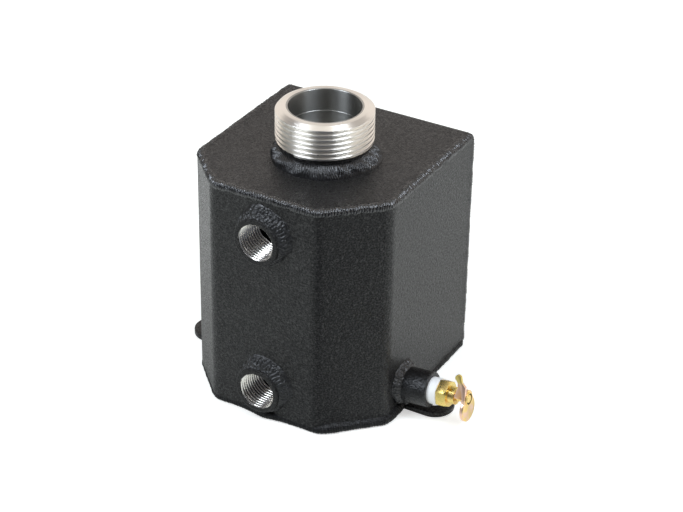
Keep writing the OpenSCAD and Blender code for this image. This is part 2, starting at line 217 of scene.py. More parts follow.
def softbox(name, place, target, size, power, colour):
    """A rectangular area lamp that faces the target."""
    lamp_data = bpy.data.lights.new(name, "AREA")
    lamp_data.shape = "RECTANGLE"
    lamp_data.size, lamp_data.size_y = size
    lamp_data.energy = power
    lamp_data.color = colour
    lamp = bpy.data.objects.new(name, lamp_data)
    bpy.context.scene.collection.objects.link(lamp)
    aim = (Vector(target) - Vector(place)).to_track_quat("-Z", "Y")
    lamp.matrix_world = Matrix.Translation(Vector(place)) @ aim.to_matrix().to_4x4()


COOL = (0.83, 0.90, 1.0)
WARM = (1.0, 0.985, 0.93)
TARGET = (0.0, 0.0, 0.07)
softbox("overhead_softbox", (0.0, -0.04, 1.27), TARGET, (1.1, 1.05), 2.3, WARM)
softbox("left_front_softbox", (-0.47, -0.74, 0.87), TARGET, (0.48, 0.80), 9.0, COOL)
softbox("right_front_softbox", (0.73, -0.13, 1.02), TARGET, (0.5, 0.6), 7.6, COOL)


# Sheets. One sheet is folded four times into the walls, another into the top, back and base.
# They are aluminium under a coat of black powder, which bakes to a satin grain.
SHEET = 3.0
LEFT_CUT = 24.0
RIGHT_CUT = 26.5
WALL_BEND = 8.0
BACK_BEND = 4.5
wrapper_low, wrapper_high = (Vector(corner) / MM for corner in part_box("front_wrapper"))
channel_low, channel_high = (Vector(corner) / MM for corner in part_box("folded_channel"))
HALF_W = wrapper_high.x
FRONT = wrapper_low.y
REAR = channel_high.y
TOP = channel_high.z

COAT_DARK = (0.0020, 0.0020, 0.0020, 1.0)
COAT_LIGHT = (0.0500, 0.0475, 0.0460, 1.0)
COAT_IOR = 1.355
GRAIN = 0.00085
GRAIN_DEPTH = 0.00054


def noise_of(place, size, detail=2.0, roughness=0.5, stretch=(1.0, 1.0, 1.0)):
    """Noise whose lumps are about the given size in metres."""
    spread = place.node("ShaderNodeMapping", {}, {"Vector": place, "Scale": stretch})
    return place.node("ShaderNodeTexNoise", {}, {"Vector": spread, "Scale": 1.0 / size,
                      "Detail": detail, "Roughness": roughness})


def coat_nodes(place):
    """Colour, roughness and height of the powder coat."""
    fine = noise_of(place, GRAIN, detail=3.0, roughness=0.6)
    coarse = noise_of(place, 2.4 * GRAIN)
    patch = noise_of(place, 0.018)
    tone = fine.above(0.57, 0.07) * (0.35 + coarse.above(0.5, 0.15) * 0.65) + patch * 0.08
    return (tone.blend(COAT_DARK, COAT_LIGHT), fine.above(0.5, 0.12) * 0.24 + coarse * 0.06 + 0.23,
            fine * 0.85 + coarse * 0.50)


def bump(height, strength, depth):
    return height.node("ShaderNodeBump", {}, {"Strength": strength, "Distance": depth,
                                              "Height": height})


coat, coat_place, coat_shader = new_material("powder_coat")
coat_colour, coat_rough, coat_height = coat_nodes(coat_place)
glaze = noise_of(coat_place, 1.1 * GRAIN, detail=2.0).above(0.54, 0.08)
feed(coat_shader, Base_Color=coat_colour, Roughness=coat_rough, IOR=COAT_IOR,
     Coat_Weight=glaze * 0.5, Coat_Roughness=0.3, Normal=bump(coat_height, 1.0, GRAIN_DEPTH))
for node_name in ("front_wrapper", "folded_channel"):
    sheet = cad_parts[node_name]
    sheet.data.materials.clear()
    sheet.data.materials.append(coat)


# Edge seams. A weld bead fills the open corner between the two sheets all the way round the
# top, round the base and down both rear edges. Each is laid in small overlapping crescents
# and lies under the coat.
BEAD_DARK = (0.0012, 0.0012, 0.0013, 1.0)
BEAD_LIGHT = (0.0250, 0.0250, 0.0270, 1.0)
SEAM_SECTION = (2.52, 2.34)
BASE_SECTION = (2.27, 2.05)
SEAM_REACH = math.radians(84.0)
SEAM_ROOT = 2.95
CROWN_ROWS = 16
RIPPLE_PITCH = 1.45
RIPPLE_HIGH = 0.15
RIPPLE_STEPS = 8
REAR_LIMIT = REAR + 0.2
BASE_LIMIT = 0.02


def glossy_coat(name, speck, grain, depth, ior, smooth, change):
    """The coat where it runs thin and glossy, with specks and a grain of the given sizes."""
    material, place, shader = new_material(name)
    specks = noise_of(place, speck)
    colour = specks.above(0.60, 0.06).blend(BEAD_DARK, BEAD_LIGHT)
    feed(shader, Base_Color=colour, IOR=ior, Roughness=specks * change + smooth,
         Normal=bump(noise_of(place, grain, detail=1.0), 1.0, depth))
    return material


bead_coat = glossy_coat("coat_over_beads", 0.0008, 0.0013, 0.00036, 1.8, 0.15, 0.22)
dull_bead_coat = glossy_coat("dull_coat_over_beads", 0.0006, 0.0010, 0.00050, 1.65, 0.22, 0.25)


def rolled(name, steps, rows, place):
    """A grid whose vertices go where place(step, row) says, in millimetres."""
    bpy.ops.object.select_all(action="DESELECT")
    bpy.ops.mesh.primitive_grid_add(x_subdivisions=steps, y_subdivisions=rows, size=2.0)
    piece = bpy.context.object
    piece.name = name
    for vertex in piece.data.vertices:
        step = round((vertex.co.x + 1.0) / 2.0 * steps)
        row = round((vertex.co.y + 1.0) / 2.0 * rows)
        vertex.co = place(step, row) * MM
    return piece


def sealed(piece, smooth_angle=50.0):
    """Merges the vertices that meet, closes the ends and turns the faces outwards."""
    bpy.ops.object.select_all(action="DESELECT")
    piece.select_set(True)
    bpy.context.view_layer.objects.active = piece
    bpy.ops.object.mode_set(mode="EDIT")
    bpy.ops.mesh.select_all(action="SELECT")
    bpy.ops.mesh.remove_doubles(threshold=2e-6)
    bpy.ops.mesh.fill_holes(sides=0)
    bpy.ops.mesh.select_all(action="SELECT")
    bpy.ops.mesh.normals_make_consistent(inside=False)
    bpy.ops.object.mode_set(mode="OBJECT")
    bpy.ops.object.shade_smooth_by_angle(angle=math.radians(smooth_angle))
    return piece


def fitted(piece, node, body, material):
    """Gives a finished piece its material and lets it stand for a CAD node."""
    piece.data.name = piece.name
    piece.data.materials.clear()
    piece.data.materials.append(material)
    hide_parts(node)
    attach(piece, body)


def walk(corners, radius, axis):
    """Lengths, points and outward directions along a line with its corners rounded."""
    stops = [(corners[0], (corners[1] - corners[0]).normalized())]
    for before, corner, after in zip(corners, corners[1:], corners[2:]):
        ahead = (corner - before).normalized()
        turn = ahead.angle(after - corner)
        centre = corner - ahead * radius * math.tan(turn / 2.0) - ahead.cross(axis) * radius
        parts = max(2, round(math.degrees(turn) / 3.0))
        for part in range(parts + 1):
            heading = Matrix.Rotation(turn * part / parts, 3, axis) @ ahead
            stops.append((centre + heading.cross(axis) * radius, heading))
    stops.append((corners[-1], (corners[-1] - corners[-2]).normalized()))
    path = []
    length = 0.0
    for point, heading in stops:
        if path:
            length += (point - path[-1][1]).length
        path.append((length, point, heading.cross(axis)))
    return path


def spot(path, length):
    """The point and the outward direction at a length along a path."""
    for (start, point, outward), (end, next_point, next_outward) in zip(path, path[1:]):
        if length <= end and end > start:
            break
    share = (length - start) / (end - start)
    return point.lerp(next_point, share), outward.lerp(next_outward, share).normalized()


def uneven(length, size, seed):
    """Smooth unevenness between about -1 and 1 along a length."""
    return 2.0 * noise.noise(Vector((length / size, seed, 0.37)))


def crescents(length, across, pitch, seed):
    """Height of the weld's crescents, from -1 in the creases to 1 on the crests."""
    phase = length / pitch + 0.45 * across * across + 0.35 * uneven(length, 4.0, seed)
    return math.sin(2.0 * math.pi * phase)


def no_swell(length):
    return 0.0


def seam(name, path, side, start, end, seed, section=SEAM_SECTION, swell=no_swell):
    """A bead laid in the open corner along a path, with side pointing off its other sheet.
    Its section is a radius and how far in its centre lies. Its swell is how far it bulges
    out of the wall at a length."""
    bead_radius, bead_centre = section
    steps = round((end - start) / RIPPLE_PITCH * RIPPLE_STEPS)

    def place(step, row):
        length = start + (end - start) * step / steps
        corner, outward = spot(path, length)
        shift = 0.14 * uneven(length, 3.5, seed + 5.0)
        out = side_out = -bead_centre
        if row == CROWN_ROWS + 1:
            return corner - (outward + side) * SEAM_ROOT
        across = 2.0 * (row % (CROWN_ROWS + 2)) / CROWN_ROWS - 1.0
        angle = across * SEAM_REACH
        fade = math.cos(angle * 0.95)
        radius = bead_radius + 0.10 * uneven(length, 6.0, seed + 9.0)
        radius += fade * RIPPLE_HIGH * crescents(length, across, RIPPLE_PITCH, seed)
        speck = Vector((length / 0.7, across * 3.4, seed))
        radius += fade * 0.24 * noise.noise(speck)
        at_back = min(max((corner.y - REAR + 9.0) / 7.0, 0.0), 1.0)
        radius -= 0.42 * at_back * min(max((corner.z - TOP + 7.0) / 5.0, 0.0), 1.0)
        bulge = swell(length)
        belly = math.sin(math.pi * min(1.0, 0.675 * (across + 1.0))) ** 0.8
        out += radius * math.cos(math.pi / 4.0 + angle) - shift + bulge * belly
        side_out += radius * math.sin(math.pi / 4.0 + angle) + shift
        if across < 0.0:
            side_out *= 1.0 + 0.22 * bulge
        point = corner + outward * out + side * side_out
        point.y = min(point.y, REAR_LIMIT)
        point.z = max(point.z, BASE_LIMIT)
        return point

    return rolled(name, steps, CROWN_ROWS + 2, place)


UPWARD = Vector((0.0, 0.0, 1.0))
RIGHTWARD = Vector((1.0, 0.0, 0.0))
BEND_END = REAR - BACK_BEND
END_LAP = 0.8


def wall_path(z):
    """The outer line of the five walls at one height, from the left rear to the right rear."""
    outline = [(-HALF_W, BEND_END + END_LAP), (-HALF_W, FRONT + LEFT_CUT),
               (LEFT_CUT - HALF_W, FRONT), (HALF_W - RIGHT_CUT, FRONT),
               (HALF_W, FRONT + RIGHT_CUT), (HALF_W, BEND_END + END_LAP)]
    return walk([Vector((x, y, z)) for x, y in outline], WALL_BEND, UPWARD)


top_path = wall_path(TOP)
top_seam = sealed(seam("top_seam", top_path, UPWARD, 0.0, top_path[-1][0], 1.0))
fitted(top_seam, "top_seam_weld", "tank", bead_coat)

left_tab_low, left_tab_high = (Vector(corner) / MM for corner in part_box("left_mounting_tab"))
TAB_LAP = 0.6
base_path = wall_path(0.0)
tab_rear = BEND_END + END_LAP - left_tab_high.y
tab_front = BEND_END + END_LAP - left_tab_low.y
base_length = base_path[-1][0]
base_runs = [(0.0, tab_rear + TAB_LAP), (tab_front - TAB_LAP, base_length - tab_front + TAB_LAP),
             (base_length - tab_rear - TAB_LAP, base_length)]
PORT_BLOB = Vector((-1.0, FRONT, 0.0))
RIGHT_SWELL = 2.3


def base_swell(length):
    """The base's bead is heavy along the slanted right wall and under the lower port."""
    corner = spot(base_path, length)[0]
    at_right = min(max((corner.x - (HALF_W - RIGHT_CUT) + 2.0) / 6.0, 0.0), 1.0)
    blob = math.exp(-((corner - PORT_BLOB).length / 8.5) ** 2)
    at_right *= min(max((10.0 - corner.y) / 30.0, 0.35), 1.0)
    return RIGHT_SWELL * at_right * (1.0 + 0.12 * uneven(length, 5.0, 77.0)) + 2.2 * blob


base_parts = [sealed(seam(f"base_seam_{number}", base_path, -UPWARD, start, end, 20.0 + number,
                          BASE_SECTION, base_swell))
              for number, (start, end) in enumerate(base_runs)]
bpy.ops.object.select_all(action="DESELECT")
for part in base_parts:
    part.select_set(True)
bpy.context.view_layer.objects.active = base_parts[0]
bpy.ops.object.join()
base_parts[0].name = "base_seam"
base_coat = glossy_coat("coat_over_base_bead", 0.0006, 0.0010, 0.00042, 1.38, 0.30, 0.25)
fitted(base_parts[0], "bottom_seam_weld", "tank", base_coat)

for side_name, sign in (("left", -1.0), ("right", 1.0)):
    outline = [(BEND_END - END_LAP, TOP), (REAR, TOP), (REAR, 0.0), (BEND_END - END_LAP, 0.0)]
    rear_path = walk([Vector((sign * HALF_W, y, z)) for y, z in outline], BACK_BEND, -RIGHTWARD)
    rear_seam = sealed(seam(f"{side_name}_rear_seam", rear_path, RIGHTWARD * sign, 0.0,
                            rear_path[-1][0], 40.0 + sign))
    fitted(rear_seam, f"{side_name}_rear_seam_weld", "tank", bead_coat)


# Filler neck. A collar turned from aluminium bar, with a thread for a screwed cap, a plain
# relief below it and a ledge in its mouth. It stays bare above the coat's masked edge.
NECK_PLACE = Vector((1.8, -4.0, TOP))
NECK_R = 24.75
NECK_HIGH = 26.8
RELIEF_R = 23.2
RELIEF_HIGH = 8.3
RIM_CUT_W = 2.9
RIM_CUT_H = 1.6
MOUTH_R = 18.35
MOUTH_DEPTH = 11.9
LEDGE_R = 18.2
THROAT_R = 17.3
SPIGOT_R = 21.0
NECK_PITCH = 2.55
NECK_GROOVE = 1.35
FLANK = math.tan(math.radians(30.0))
GROOVE_TOP = NECK_HIGH - 3.2
GROOVE_TURNS = 5.3
FACING = math.radians(-60.5)
BROKEN = 0.35
PITCH_ROWS = (0.0, 0.03, 0.1, 0.18, 0.25, 0.28, 0.34, 0.42, 0.5,
              0.58, 0.66, 0.72, 0.75, 0.82, 0.9, 0.97)


def arc(centre, radius, start, end, parts):
    """Points of an arc in a section, with angles in degrees."""
    points = []
    for part in range(parts + 1):
        angle = math.radians(start + (end - start) * part / parts)
        points.append((centre[0] + radius * math.cos(angle), centre[1] + radius * math.sin(angle)))
    return points


def screwed(name, around, low, high, pitch, groove_place, radius_at, rings, place):
    """A turned ring with a thread from low to high. Its rows follow the helix there, and
    the rest of its section is the list of rings. groove_place is the height of one turn of
    the groove at the first step."""
    first = math.floor((low - groove_place) / pitch) - 1
    last = math.ceil((high - groove_place) / pitch) + 1
    turns = [turn + share for turn in range(first, last) for share in PITCH_ROWS]
    rows = turns + rings + [turns[0]]

    def put(step, row):
        share = step / around
        angle = 2.0 * math.pi * share
        if row < len(turns):
            z = min(max(groove_place + pitch * (rows[row] + share), low), high)
            radius = radius_at(z, share)
        elif row < len(turns) + len(rings):
            radius, z = rows[row]
        else:
            z = low
            radius = radius_at(z, share)
        return place @ Vector((radius * math.cos(angle), radius * math.sin(angle), z))

    return sealed(rolled(name, around, len(rows) - 1, put), 35.0)


def groove_depth(z, share, pitch, groove_place, depth, turns):
    """Depth of a thread's groove at a height and a share of a turn, run out at its end."""
    turn = (z - groove_place) / pitch - share
    nearest = round(turn)
    gap = abs(turn - nearest) * pitch
    run_out = min(max((nearest + share + turns) / 0.12, 0.0), 1.0)
    return run_out * max(0.0, min(depth - gap / FLANK, depth - 0.08))


neck_groove_place = GROOVE_TOP - NECK_PITCH * (FACING / (2.0 * math.pi) + 1.0)


def neck_radius(z, share):
    cut = NECK_R - (z - (NECK_HIGH - RIM_CUT_H)) * RIM_CUT_W / RIM_CUT_H
    broken = NECK_R - max(0.0, RELIEF_HIGH + BROKEN - z)
    depth = groove_depth(z, share, NECK_PITCH, neck_groove_place, NECK_GROOVE, GROOVE_TURNS)
    return min(NECK_R - depth, cut, broken)


RIM_R = NECK_R - RIM_CUT_W
neck_rings = [(RIM_R + 0.25, NECK_HIGH - 0.10), (RIM_R - 0.05, NECK_HIGH - 0.01),
              (RIM_R - 0.35, NECK_HIGH), (20.2, NECK_HIGH)]
neck_rings += arc((MOUTH_R + BROKEN, NECK_HIGH - BROKEN), BROKEN, 90.0, 180.0, 4)
neck_rings += [(MOUTH_R, NECK_HIGH - 4.0), (MOUTH_R, NECK_HIGH - 8.0)]
neck_rings += [(MOUTH_R, NECK_HIGH - MOUTH_DEPTH), (LEDGE_R + 0.1, NECK_HIGH - MOUTH_DEPTH),
               (LEDGE_R, NECK_HIGH - MOUTH_DEPTH - 0.1), (LEDGE_R, 6.0), (THROAT_R, 4.0),
               (THROAT_R, -SHEET), (SPIGOT_R, -SHEET), (SPIGOT_R, 0.0), (RELIEF_R, 0.0),
               (RELIEF_R, RELIEF_HIGH - 0.6)]
neck_rings += arc((RELIEF_R + 0.4, RELIEF_HIGH - 0.4), 0.4, 180.0, 90.0, 4)
at_neck = Matrix.Translation(NECK_PLACE)
neck = screwed("neck_collar", 360, RELIEF_HIGH, NECK_HIGH - 0.2, NECK_PITCH, neck_groove_place,
               neck_radius, neck_rings, at_neck)

BARE_METAL = (0.96, 0.92, 0.855, 1.0)
# Metal colour inside the neck's mouth, darkened as painted shade in the bore
PAINTED_MOUTH_SHADE = (0.45, 0.45, 0.43, 1.0)
COAT_EDGE = 8.35
COAT_JOG = 1.3
JOG_ANGLE = math.radians(-96.8)
bare, bare_place, bare_shader = new_material("turned_aluminium")
bare_x, bare_y, bare_z = bare_place.axes()
neck_dx = bare_x - NECK_PLACE.x * MM
neck_dy = bare_y - NECK_PLACE.y * MM
past_jog = (neck_dx * math.sin(JOG_ANGLE) - neck_dy * math.cos(JOG_ANGLE)).above(0.0, 0.1 * MM)
ragged = noise_of(bare_place, 0.0016)
coat_line = (TOP + COAT_EDGE) * MM + past_jog * (COAT_JOG * MM) + (ragged - 0.5) * (0.35 * MM)
outside = (neck_dx * neck_dx + neck_dy * neck_dy).above((MOUTH_R + 1.0) ** 2 * MM * MM, 1e-8)
coated = (1.0 - (bare_z - coat_line).above(0.0, 0.06 * MM)) * outside
turning = noise_of(bare_place, 0.00018, detail=1.0, stretch=(0.02, 0.02, 1.0))
smear = noise_of(bare_place, 0.005, detail=3.0)
neck_coat_colour, neck_coat_rough, neck_coat_height = coat_nodes(bare_place)
metal_rough = turning * 0.04 + smear * 0.06 + 0.30 - outside * 0.06
neck_rough = metal_rough * (1.0 - coated) + neck_coat_rough * coated
tool_marks = turning * (outside * 0.05 + 0.06)
neck_height = tool_marks * (1.0 - coated) + neck_coat_height * coated
# Inside the mouth the bare metal is painted darker, as painted shade in the bore
neck_metal_and_mouth_shade = outside.blend(PAINTED_MOUTH_SHADE, BARE_METAL)
feed(bare_shader, Base_Color=coated.blend(neck_metal_and_mouth_shade, neck_coat_colour), Roughness=neck_rough,
     Metallic=1.0 - coated, IOR=COAT_IOR, Anisotropic=0.85, Anisotropic_Rotation=0.25,
     Normal=bump(neck_height, 1.0, GRAIN_DEPTH))
fitted(neck, "filler_neck", "tank", bare)


# Bead round the neck. It is wide and tall, laid in narrow slanting strokes that lean away
# from the place at the front where the bead's two ends meet, and it is coated.
def even(angle):
    return 1.0


def neck_spread(angle):
    """The bead spreads on the right of the neck and is narrower on the left."""
    from_right = math.remainder(angle - math.radians(20.0), 2.0 * math.pi)
    from_left = math.remainder(angle - math.radians(205.0), 2.0 * math.pi)
    return 1.0 + 0.32 * math.exp(-(from_right / 0.5) ** 2) - 0.22 * math.exp(-(from_left / 0.8) ** 2)


def ring_bead(name, place, radius, width, height, sink, seed, crown, pitch, high, lean=0.0,
              curve=0.0, meeting=0.0, lumps=0.25, rough=0.1, ragged=0.0,
              spread=even):
    """A bead between a turned piece and the sheet it stands on. Its strokes have a pitch, a
    height, a lean and a curve, and meet at an angle. spread widens it at an angle."""
    mean_r = radius + width / 2.0
    around = round(2.0 * math.pi * mean_r / pitch * RIPPLE_STEPS)

    def put(step, row):
        angle = 2.0 * math.pi * step / around
        wide = spread(angle) + ragged * uneven(angle * mean_r, 3.0, seed + 2.0)
        if row == CROWN_ROWS + 1:
            section = Vector((radius - 0.3, -sink - 0.3))
        else:
            across = (row % (CROWN_ROWS + 2)) / CROWN_ROWS
            belly = 4.0 * across * (1.0 - across)
            chord = Vector((-width * wide, height * (0.55 + 0.45 * min(wide, 1.0))))
            outward = Vector((chord.y, -chord.x)).normalized()
            turned_by = math.remainder(angle - meeting, 2.0 * math.pi)
            length = mean_r * abs(turned_by)
            ring = Vector((math.cos(angle), math.sin(angle), 0.0)) * mean_r
            slow = noise.noise(ring / 4.5 + Vector((seed, across * 1.5, 0.0)))
            quick = noise.noise(ring / 0.75 + Vector((0.0, seed, across * 5.0 * wide)))
            bow = curve * (2.0 * across - 1.0) ** 2
            phase = (length - lean * across + bow) / pitch + 0.8 * slow
            stroke = math.sin(2.0 * math.pi * phase)
            weight = 0.3 + 0.7 * belly
            section = Vector((radius + width * wide, 0.0)) + chord * across
            section += outward * (crown * (2.2 - 1.2 * wide) * belly + weight * high * stroke)
            section += outward * (lumps * slow + weight * rough * 2.0 * quick)
            if row in (0, CROWN_ROWS + 2):
                section.y = -sink
            section.x = max(section.x, radius - 0.2)
        x = section.x * math.cos(angle)
        y = section.x * math.sin(angle)
        return place @ Vector((x, y, section.y))

    return sealed(rolled(name, around, CROWN_ROWS + 2, put))


NECK_BEAD_W = 4.7
NECK_BEAD_H = 6.0
MEETING = math.radians(-45.0)
neck_bead = ring_bead("neck_bead", at_neck, RELIEF_R, NECK_BEAD_W, NECK_BEAD_H, 0.3, 3.0,
                      crown=0.8, pitch=1.25, high=0.24, lean=1.7, meeting=MEETING,
                      rough=0.08, spread=neck_spread)
neck_bead_coat = glossy_coat("coat_over_neck_bead", 0.0007, 0.0009, 0.00012, 1.62, 0.22, 0.20)
fitted(neck_bead, "neck_weld", "tank", neck_bead_coat)


# Ports. Two bungs turned from aluminium bar and tapped right through with a pipe thread.
# They are welded into the front wall with coarse beads, and coated except in the bore.
PORT_X = -2.55
PORT_HEIGHTS = {"lower": 18.1, "upper": 104.8}
PORT_R = 12.6
PORT_BORE_R = 9.2
PORT_OUT = 5.0
PORT_LONG = 18.0
PORT_MOUTH_R = 9.8
PORT_MOUTH_DEEP = 0.6
PORT_PITCH = 25.4 / 14.0
PORT_GROOVE = 1.25
PORT_EDGE = 0.9
PORT_BEAD_LEG = 4.0
PORT_MEETING = math.radians(70.0)
port_groove_place = PORT_OUT - 1.3
PORT_END = PORT_OUT - PORT_LONG


def port_spread(angle):
    """The bead is wide above and to the right and narrow at the lower left."""
    turned_by = abs(math.remainder(angle - math.radians(55.0), 2.0 * math.pi))
    near = min(max((math.radians(88.0) - turned_by) / math.radians(48.0), 0.0), 1.0)
    return 0.42 + 1.2 * near * near * (3.0 - 2.0 * near)


def port_radius(z, share):
    mouth = PORT_BORE_R + max(0.0, z - (PORT_OUT - PORT_MOUTH_DEEP))
    depth = groove_depth(z, share, PORT_PITCH, port_groove_place, PORT_GROOVE, 40.0)
    return max(PORT_BORE_R + depth, mouth)


port_rings = [(PORT_MOUTH_R + 0.05, PORT_OUT - 0.02), (PORT_MOUTH_R + 0.25, PORT_OUT),
              (11.5, PORT_OUT)]
port_rings += arc((PORT_R - PORT_EDGE, PORT_OUT - PORT_EDGE), PORT_EDGE, 90.0, 0.0, 5)
port_rings += [(PORT_R, 1.0), (PORT_R, PORT_END), (PORT_BORE_R + PORT_GROOVE + 0.1, PORT_END)]

port_metal, port_place, port_shader = new_material("tapped_aluminium")
port_x, port_y, port_z = port_place.axes()
from_axis = port_x - PORT_X * MM
lift_low = port_z - PORT_HEIGHTS["lower"] * MM
lift_high = port_z - PORT_HEIGHTS["upper"] * MM
lift = abs(lift_low).math("MINIMUM", abs(lift_high))
port_ragged = noise_of(port_place, 0.0015)
port_off = (from_axis * from_axis + lift * lift).math("SQRT") + (port_ragged - 0.5) * (0.3 * MM)
in_bore = 1.0 - port_off.above(PORT_MOUTH_R * MM + 0.05 * MM, 0.06 * MM)
far_in = port_y.above((FRONT - PORT_END - 0.5) * MM, 0.1 * MM)
port_bare = in_bore.math("MAXIMUM", far_in)
port_coat_colour, port_coat_rough, port_coat_height = coat_nodes(port_place)
port_smear = noise_of(port_place, 0.002, detail=3.0)
boring = noise_of(port_place, 0.00018, detail=1.0, stretch=(0.02, 1.0, 0.02))
port_relief = port_coat_height * (1.0 - port_bare) + boring * 0.06 * port_bare
port_rough = (port_smear * 0.12 + 0.16) * port_bare + port_coat_rough * (1.0 - port_bare)
feed(port_shader, Base_Color=port_bare.blend(port_coat_colour, BARE_METAL), Roughness=port_rough,
     Metallic=port_bare, IOR=COAT_IOR, Normal=bump(port_relief, 1.0, GRAIN_DEPTH))

for port_name, port_height in PORT_HEIGHTS.items():
    at_port = Matrix.Translation((PORT_X, FRONT, port_height)) @ Matrix.Rotation(
        math.radians(90.0), 4, "X")
    bung = screwed(f"{port_name}_bung", 160, PORT_END, PORT_OUT - 0.05, PORT_PITCH,
                   port_groove_place, port_radius, port_rings, at_port)
    fitted(bung, f"{port_name}_port_bung", "tank", port_metal)
    port_bead = ring_bead(f"{port_name}_port_bead", at_port, PORT_R, PORT_BEAD_LEG,
                          PORT_BEAD_LEG, 0.3, 7.0 + port_height, crown=0.30, pitch=1.9,
                          high=0.15, lean=0.6, curve=1.6, meeting=PORT_MEETING, lumps=0.5,
                          rough=0.22, ragged=0.06, spread=port_spread)
    fitted(port_bead, f"{port_name}_port_weld", "tank", dull_bead_coat)


# Drain boss. A round boss turned from aluminium bar, tapped for the petcock, tilted up a
# little and welded low on the right wall with a rough bead. All of it is coated.
DRAIN_FOOT = Vector((HALF_W, -13.8, 15.6))
DRAIN_TILT = 5.0
DRAIN_R = 9.2
DRAIN_OUT = 17.0
DRAIN_DEEP = DRAIN_OUT + SHEET + 5.0
DRAIN_BORE_R = 6.85
DRAIN_BORE_DEEP = 13.0
DRAIN_HOLE_R = 4.5
DRAIN_EDGE = 0.7
at_drain = Matrix.Translation(DRAIN_FOOT) @ Matrix.Rotation(
    math.radians(90.0 - DRAIN_TILT), 4, "Y")
at_mouth = at_drain @ Matrix.Translation((0.0, 0.0, DRAIN_OUT))


def turned(name, outline, steps, place, smooth_angle=35.0):
    """A closed outline of (radius, height) points, drawn as a chain and spun to a solid."""
    bpy.ops.object.select_all(action="DESELECT")
    start = Vector((outline[0][0], 0.0, outline[0][1])) * MM
    bpy.ops.mesh.primitive_plane_add(size=MM, location=(0.0, 0.0, 0.0))
    piece = bpy.context.object
    piece.name = name
    bpy.ops.object.mode_set(mode="EDIT")
    bpy.ops.mesh.merge(type="CENTER")
    bpy.ops.transform.translate(value=start)
    for (radius, height), (next_radius, next_height) in zip(outline, outline[1:]):
        move = Vector((next_radius - radius, 0.0, next_height - height)) * MM
        bpy.ops.mesh.extrude_region_move(TRANSFORM_OT_translate={"value": move})
    bpy.ops.mesh.select_all(action="SELECT")
    bpy.ops.mesh.spin(steps=steps, angle=2.0 * math.pi, center=(0.0, 0.0, 0.0),
                      axis=(0.0, 0.0, 1.0))
    bpy.ops.object.mode_set(mode="OBJECT")
    scaled = Matrix.Translation(place.translation * MM) @ place.to_3x3().to_4x4()
    piece.data.transform(scaled)
    return sealed(piece, smooth_angle)




def drain_spread(angle):
    """The bead is widest on the upper front side, where local X points down."""
    return 0.35 + (0.5 + 0.5 * math.cos(angle - math.radians(202.0))) ** 2


boss_outline = [(DRAIN_HOLE_R, -DRAIN_DEEP), (DRAIN_R, -DRAIN_DEEP)]
boss_outline += arc((DRAIN_R - DRAIN_EDGE, -DRAIN_EDGE), DRAIN_EDGE, 0.0, 90.0, 6)
boss_outline += arc((DRAIN_BORE_R + 0.5, -0.5), 0.5, 90.0, 180.0, 4)
boss_outline += [(DRAIN_BORE_R, -DRAIN_BORE_DEEP), (DRAIN_HOLE_R, -DRAIN_BORE_DEEP),
                 (DRAIN_HOLE_R, -DRAIN_DEEP)]
boss = turned("drain_boss_turned", boss_outline, 96, at_mouth)
boss_coat = glossy_coat("coat_over_boss", 0.0006, 0.0010, 0.00045, 1.5, 0.20, 0.25)
fitted(boss, "drain_boss", "tank", boss_coat)
drain_bead = ring_bead("drain_bead", at_drain, DRAIN_R, 3.7, 4.0, 1.3, 31.0, crown=0.4,
                       pitch=1.7, high=0.16, lean=0.6, curve=1.0, meeting=math.radians(100.0),
                       lumps=0.5, rough=0.20, spread=drain_spread)
fitted(drain_bead, "drain_weld", "tank", dull_bead_coat)


# Mounting tabs. Flat tabs cut from the same sheet, with a round end and a bolt hole, set
# into the seam of the base and held by a bead along the wall. They are coated.
TAB_EDGE = 0.45
TAB_LEG = 3.5


def copy_of(node, name):
    """A merged copy of a CAD node, with its flat faces made whole, ready to be shaped."""
    bpy.ops.object.select_all(action="DESELECT")
    piece = bpy.data.objects.new(name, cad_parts[node].data.copy())
    bpy.context.scene.collection.objects.link(piece)
    piece.select_set(True)
    bpy.context.view_layer.objects.active = piece
    bpy.ops.object.mode_set(mode="EDIT")
    bpy.ops.mesh.select_all(action="SELECT")
    bpy.ops.mesh.remove_doubles(threshold=1e-6)
    bpy.ops.mesh.dissolve_limited(angle_limit=math.radians(0.5))
    bpy.ops.object.mode_set(mode="OBJECT")
    return piece


def eased(piece, width, segments=3, sharp=32.0):
    """Rounds every sharp edge of a piece by the width in millimetres."""
    bpy.ops.object.select_all(action="DESELECT")
    piece.select_set(True)
    bpy.context.view_layer.objects.active = piece
    rounding = piece.modifiers.new("rounding", "BEVEL")
    rounding.width = width * MM
    rounding.segments = segments
    rounding.limit_method = "ANGLE"
    rounding.angle_limit = math.radians(sharp)
    bpy.ops.object.modifier_apply(modifier=rounding.name)
    bpy.ops.object.shade_smooth_by_angle(angle=math.radians(40.0))
    return piece


